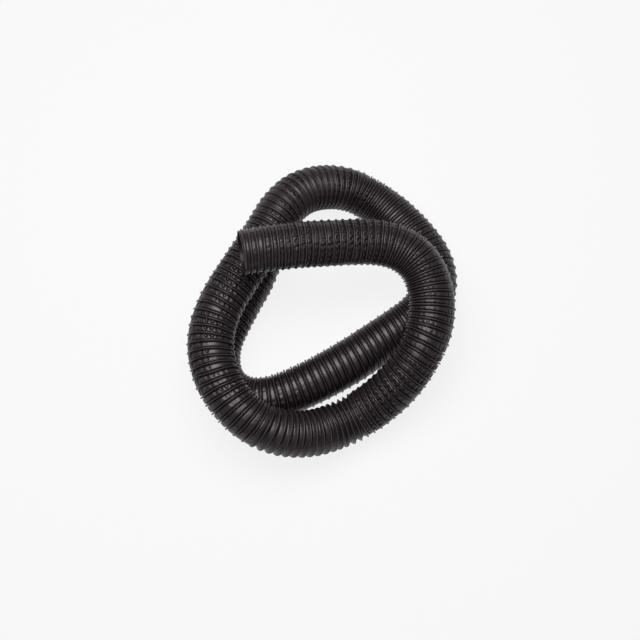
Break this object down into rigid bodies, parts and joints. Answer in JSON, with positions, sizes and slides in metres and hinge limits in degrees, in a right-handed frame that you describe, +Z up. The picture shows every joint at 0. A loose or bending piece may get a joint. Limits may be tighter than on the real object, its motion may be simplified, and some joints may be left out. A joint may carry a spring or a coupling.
{
  "type": "flexible duct hose",
  "caption": "Black wire-helix flexible duct hose lying in a loose coil, with both ends cut bare and open.",
  "frame": {"origin": "middle of the coil's footprint, on the floor that it lies on", "axes": "+Z up off the floor, +X along the stretch of hose that ends on top of the coil, away from its cut end, +Y towards the far side of the coil"},
  "size_m": [0.3322, 0.3758, 0.1681],
  "materials": {
    "hose_wall": "semi-gloss coated fabric"
  },
  "bodies": {
    "root": {"hose_wall": "hose_wall"}
  },
  "joints": []
}
